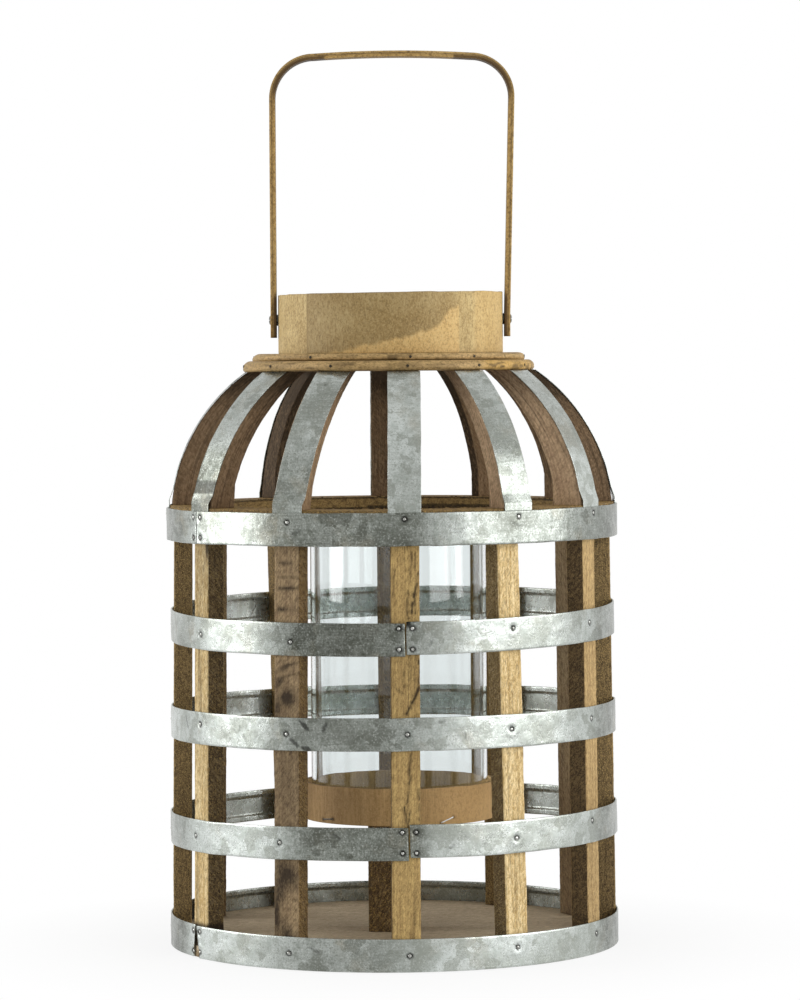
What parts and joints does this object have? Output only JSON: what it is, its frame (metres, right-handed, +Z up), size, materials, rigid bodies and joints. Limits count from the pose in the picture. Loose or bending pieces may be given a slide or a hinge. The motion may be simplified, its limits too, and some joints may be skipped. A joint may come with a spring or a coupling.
{
  "type": "candle lantern",
  "caption": "Round slatted wooden lantern with galvanised hoops, a ribbed dome, a collar with a swinging bail handle, and a glass chimney standing in a raised cup.",
  "frame": {"origin": "middle of the base where it meets the floor", "axes": "+Z up, front towards -Y, +X to the right seen from the front"},
  "size_m": [0.3183, 0.3183, 0.6265],
  "materials": {
    "post_wood": "rough sawn, stained and weathered",
    "rib_wood": "rough sawn, dark stain",
    "board_wood": "sawn edges, stained",
    "bent_veneer": "bent veneer, satin",
    "galvanised_sheet": "dull galvanised spangle",
    "nail_steel": "dull",
    "clear_glass": "clear"
  },
  "bodies": {
    "cage": {"base_disc": "board_wood", "post_01": "post_wood", "post_02": "post_wood", "post_03": "post_wood", "post_04": "post_wood", "post_05": "post_wood", "post_06": "post_wood", "post_07": "post_wood", "post_08": "post_wood", "post_09": "post_wood", "post_10": "post_wood", "post_11": "post_wood", "post_12": "post_wood", "bottom_hoop": "galvanised_sheet", "lower_hoop": "galvanised_sheet", "middle_hoop": "galvanised_sheet", "upper_hoop": "galvanised_sheet", "shoulder_hoop": "galvanised_sheet", "shoulder_ring": "board_wood", "rib_01": "rib_wood", "rib_02": "rib_wood", "rib_03": "rib_wood", "rib_04": "rib_wood", "rib_05": "rib_wood", "rib_06": "rib_wood", "rib_07": "rib_wood", "rib_08": "rib_wood", "rib_09": "rib_wood", "rib_10": "rib_wood", "rib_11": "rib_wood", "rib_12": "rib_wood", "strap_01": "galvanised_sheet", "strap_02": "galvanised_sheet", "strap_03": "galvanised_sheet", "strap_04": "galvanised_sheet", "strap_05": "galvanised_sheet", "strap_06": "galvanised_sheet", "strap_07": "galvanised_sheet", "strap_08": "galvanised_sheet", "strap_09": "galvanised_sheet", "strap_10": "galvanised_sheet", "strap_11": "galvanised_sheet", "strap_12": "galvanised_sheet", "rim_ring_lower": "board_wood", "rim_ring_upper": "board_wood", "collar": "bent_veneer", "pivot_screws": "nail_steel", "pivot_washers": "nail_steel", "pivot_nuts": "nail_steel", "cup_disc": "board_wood", "cup_hoop": "bent_veneer", "hoop_staples": "nail_steel", "pedestal": "board_wood", "hoop_nails": "nail_steel", "rim_nails": "nail_steel", "strap_nails": "nail_steel", "pedestal_screws": "nail_steel", "frame_nails": "nail_steel"},
    "handle": {"handle": "bent_veneer"},
    "glass": {"glass_chimney": "clear_glass"}
  },
  "joints": [
    {"name": "handle_swing", "type": "hinge", "parent": "cage", "child": "handle", "pos_m": [0, 0, 0.4384], "axis": [1, 0, 0], "range_deg": [-104, 104]},
    {"name": "glass_lift", "type": "slide", "parent": "cage", "child": "glass", "axis": [0, 0, 1], "range_m": [0, 0.31]}
  ]
}
